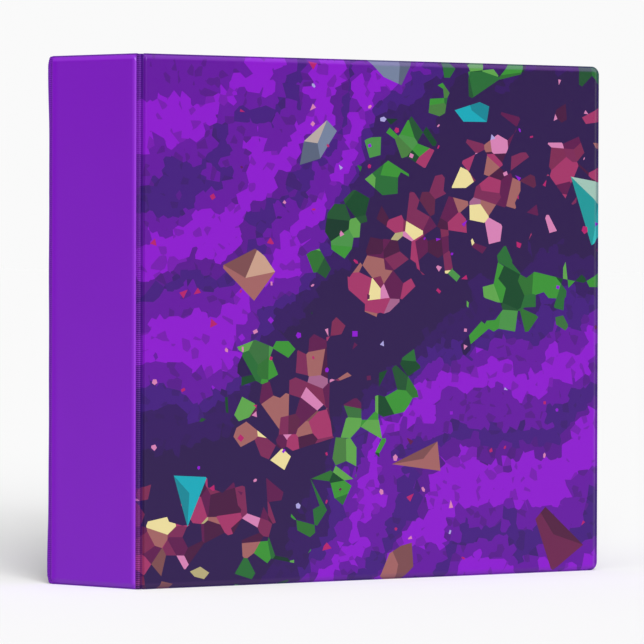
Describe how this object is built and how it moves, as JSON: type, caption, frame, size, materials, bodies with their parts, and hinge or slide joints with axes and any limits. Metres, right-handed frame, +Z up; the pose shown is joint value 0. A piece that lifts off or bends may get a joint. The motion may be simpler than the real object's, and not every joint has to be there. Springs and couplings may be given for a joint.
{
  "type": "ring binder",
  "caption": "Standing ring binder with padded vinyl covers swung apart, ribbed hinges, inside pockets and a D-ring mechanism with end triggers.",
  "frame": {"origin": "middle of the standing binder's footprint, on the surface that it stands on", "axes": "+Z up along the spine; the spine's outer face looks along -Y; the front cover is on the +X side"},
  "size_m": [0.2442, 0.2984, 0.296],
  "materials": {
    "plain_vinyl": "satin",
    "printed_vinyl": "satin, printed",
    "hinge_vinyl": "ribbed, satin",
    "liner_vinyl": "fine embossed",
    "pocket_vinyl": "smooth",
    "chipboard": "matte",
    "nickel_plate": "bright nickel plate",
    "ring_wire": "bright nickel plate",
    "spring_steel": "dull zinc plate"
  },
  "bodies": {
    "spine": {"spine_wrap": "plain_vinyl", "spine_board": "chipboard", "spine_liner": "liner_vinyl"},
    "front_cover": {"front_hinge": "hinge_vinyl", "front_wrap": "printed_vinyl", "front_board": "chipboard", "front_liner": "liner_vinyl", "front_pocket": "pocket_vinyl"},
    "back_cover": {"back_hinge": "hinge_vinyl", "back_wrap": "printed_vinyl", "back_board": "chipboard", "back_liner": "liner_vinyl", "back_pocket": "pocket_vinyl", "ring_housing": "nickel_plate", "upper_rivet": "nickel_plate", "lower_rivet": "nickel_plate", "upper_trigger_pin": "spring_steel", "lower_trigger_pin": "spring_steel"},
    "straight_leaf": {"straight_blade": "spring_steel", "upper_ring_straight_half": "ring_wire", "middle_ring_straight_half": "ring_wire", "lower_ring_straight_half": "ring_wire"},
    "bowed_leaf": {"bowed_blade": "spring_steel", "upper_ring_bowed_half": "ring_wire", "middle_ring_bowed_half": "ring_wire", "lower_ring_bowed_half": "ring_wire"},
    "upper_trigger": {"upper_trigger": "nickel_plate"},
    "lower_trigger": {"lower_trigger": "nickel_plate"}
  },
  "joints": [
    {"name": "front_cover_hinge", "type": "hinge", "parent": "spine", "child": "front_cover", "pos_m": [-0.00561, -0.14736, 0.148], "axis": [0, 0, 1], "range_deg": [-65, 25]},
    {"name": "back_cover_hinge", "type": "hinge", "parent": "spine", "child": "back_cover", "pos_m": [-0.06861, -0.14736, 0.148], "axis": [0, 0, 1], "range_deg": [-10, 80]},
    {"name": "ring_open", "type": "hinge", "parent": "back_cover", "child": "straight_leaf", "pos_m": [-0.07398, -0.08809, 0.148], "axis": [0, 0, 1], "range_deg": [0, 9]},
    {"name": "bowed_leaf_turn", "type": "hinge", "parent": "back_cover", "child": "bowed_leaf", "pos_m": [-0.07006, -0.11035, 0.148], "axis": [0, 0, -1], "range_deg": [0, 9]},
    {"name": "upper_trigger_press", "type": "hinge", "parent": "back_cover", "child": "upper_trigger", "pos_m": [-0.07182, -0.09918, 0.269], "axis": [0.1736, -0.9848, 0], "range_deg": [0, 21]},
    {"name": "lower_trigger_press", "type": "hinge", "parent": "back_cover", "child": "lower_trigger", "pos_m": [-0.07182, -0.09918, 0.027], "axis": [-0.1736, 0.9848, 0], "range_deg": [0, 21]}
  ],
  "couplings": [
    {"joint": "bowed_leaf_turn", "follows": "ring_open", "ratio": 1},
    {"joint": "upper_trigger_press", "follows": "ring_open", "ratio": 2.3333},
    {"joint": "lower_trigger_press", "follows": "ring_open", "ratio": 2.3333}
  ]
}
